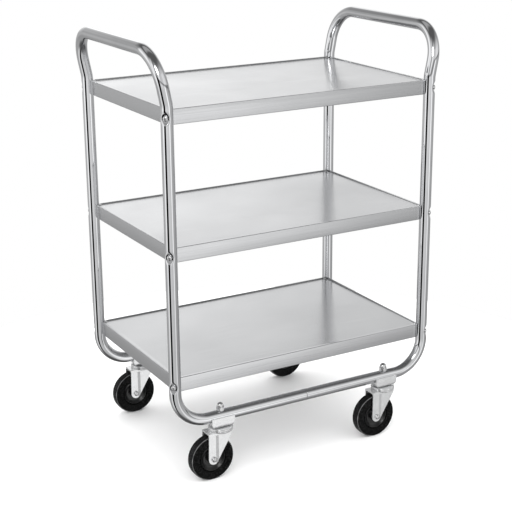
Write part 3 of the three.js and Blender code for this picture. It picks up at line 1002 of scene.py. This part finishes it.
def camera():
    """The camera of the photo's angle."""
    data = bpy.data.cameras.new("camera")
    data.lens = CAMERA_LENS
    data.clip_start = 0.05
    data.clip_end = 60
    eye = bpy.data.objects.new("camera", data)
    bpy.context.scene.collection.objects.link(eye)
    heading = math.radians(CAMERA_AZIMUTH)
    dip = math.radians(CAMERA_DIP)
    turn = Matrix.Rotation(-heading, 4, "Z") @ Matrix.Rotation(math.pi / 2 - dip, 4, "X")
    turn = turn @ Matrix.Rotation(math.radians(CAMERA_ROLL), 4, "Z")
    eye.matrix_world = Matrix.Translation(CAMERA_AT) @ turn
    bpy.context.scene.camera = eye


class World:
    """The world's nodes, with short ways to add one."""

    def __init__(self, name):
        world = bpy.data.worlds.new(name)
        bpy.context.scene.world = world
        world.use_nodes = True
        self.nodes = world.node_tree.nodes
        self.links = world.node_tree.links

    def link(self, value, slot):
        if isinstance(value, (int, float)):
            slot.default_value = value
        else:
            self.links.new(value, slot)

    def calculate(self, operation, *values):
        node = self.nodes.new("ShaderNodeMath")
        node.operation = operation
        for slot, value in zip(node.inputs, values):
            self.link(value, slot)
        return node.outputs[0]

    def mixed(self, factor, first, second):
        node = self.nodes.new("ShaderNodeMix")
        for value, slot in ((factor, "Factor"), (first, "A"), (second, "B")):
            self.link(value, node.inputs[slot])
        return node.outputs["Result"]

    def round_map(self, share, table):
        """Brightness by direction, from a table of degrees and levels."""
        ramp = self.nodes.new("ShaderNodeValToRGB")
        self.link(share, ramp.inputs[0])
        stops = ramp.color_ramp.elements
        for i, (degrees, level) in enumerate(table):
            stop = stops[i] if i < 2 else stops.new(degrees / 360 + 0.5)
            stop.position = degrees / 360 + 0.5
            stop.color = (level / BRIGHTEST,) * 3 + (1,)
        return self.calculate("MULTIPLY", ramp.outputs[0], BRIGHTEST)

    def risen(self, height, band):
        """A value that goes smoothly from zero to one across a band of heights."""
        node = self.nodes.new("ShaderNodeMapRange")
        node.interpolation_type = "SMOOTHSTEP"
        self.link(height, node.inputs["Value"])
        for slot, value in zip(("From Min", "From Max"), band):
            node.inputs[slot].default_value = value
        return node.outputs["Result"]


def reflected(w):
    """What polished metal reflects: soft boxes and dark cards, by direction and by height."""
    split = w.nodes.new("ShaderNodeSeparateXYZ")
    w.link(w.nodes.new("ShaderNodeTexCoord").outputs["Generated"], split.inputs[0])
    back = split.outputs["Y"]
    height = split.outputs["Z"]
    angle = w.calculate("ARCTAN2", split.outputs["X"], w.calculate("MULTIPLY", back, -1))
    share = w.calculate("MULTIPLY_ADD", angle, 0.5 / math.pi, 0.5)
    low = w.round_map(share, LOW_ROUND)
    high = w.round_map(share, HIGH_ROUND)
    around = w.mixed(w.risen(height, LEVEL_BAND), low, high)
    front = w.risen(back, FRONT_Y_BAND)
    lowered = w.calculate("SUBTRACT", height, w.calculate("MULTIPLY", front, FRONT_LIFT))
    dimmed = w.calculate("MULTIPLY", around, UPPER_DIM)
    around = w.mixed(w.risen(lowered, UPPER_BAND), around, dimmed)
    top = w.mixed(w.risen(back, REAR_Y_BAND), ZENITH, REAR_ZENITH)
    above = w.mixed(w.risen(height, TOP_BAND), ZENITH, top)
    around = w.mixed(w.risen(lowered, ZENITH_BAND), around, above)
    dimmed = w.calculate("MULTIPLY", around, NEAR_FLOOR)
    around = w.mixed(w.risen(height, NEAR_FLOOR_BAND), around, dimmed)
    around = w.mixed(w.risen(height, NADIR_BAND), around, NADIR)
    off_horizon = w.risen(w.calculate("ABSOLUTE", height), HORIZON_BAND)
    line = w.mixed(front, 1.0, w.mixed(off_horizon, HORIZON, 1.0))
    return w.calculate("MULTIPLY", around, line)


def surroundings():
    """A white studio: plain to the camera, even on dull surfaces, and with its shapes in reflections."""
    w = World("studio")
    around = reflected(w)
    path = w.nodes.new("ShaderNodeLightPath").outputs
    level = w.mixed(path["Is Diffuse Ray"], around, ON_FLOOR)
    level = w.mixed(path["Is Camera Ray"], level, 1.0)
    background = w.nodes["Background"]
    background.inputs["Color"].default_value = (1, 1, 1, 1)
    w.link(level, background.inputs["Strength"])


def soft_light(name, at, size, power):
    """A round area light turned towards the middle of the trolley."""
    data = bpy.data.lights.new(name, "AREA")
    data.shape = "DISK"
    data.size = size
    data.energy = power
    lamp = bpy.data.objects.new(name, data)
    aim = (LIT_AT - at).to_track_quat("-Z", "Y")
    lamp.matrix_world = Matrix.Translation(at) @ aim.to_matrix().to_4x4()
    bpy.context.scene.collection.objects.link(lamp)


def floor():
    """A round pale floor with room for the trolley and its shadow."""
    outline = arc((0, 0), FLOOR_R, 0, 360, 128)[:-1]
    mesh = prism("floor", outline, -FLOOR_T, 0, "XY")
    piece = place("studio_floor", mesh, pale_floor())
    piece.visible_glossy = False


def studio():
    """Camera, light and floor."""
    camera()
    surroundings()
    soft_light("key", KEY_AT, KEY_SIZE, KEY_POWER)
    floor()
    bpy.context.scene.view_settings.view_transform = "Standard"


# ==== Assembly ================================================================

carried_over()
for side_name, side_sign in SIDES:
    frame_tube(side_name, side_sign)
for shelf_level in LEVELS:
    shelf(shelf_level)
shelf_screws()
castors()
studio()
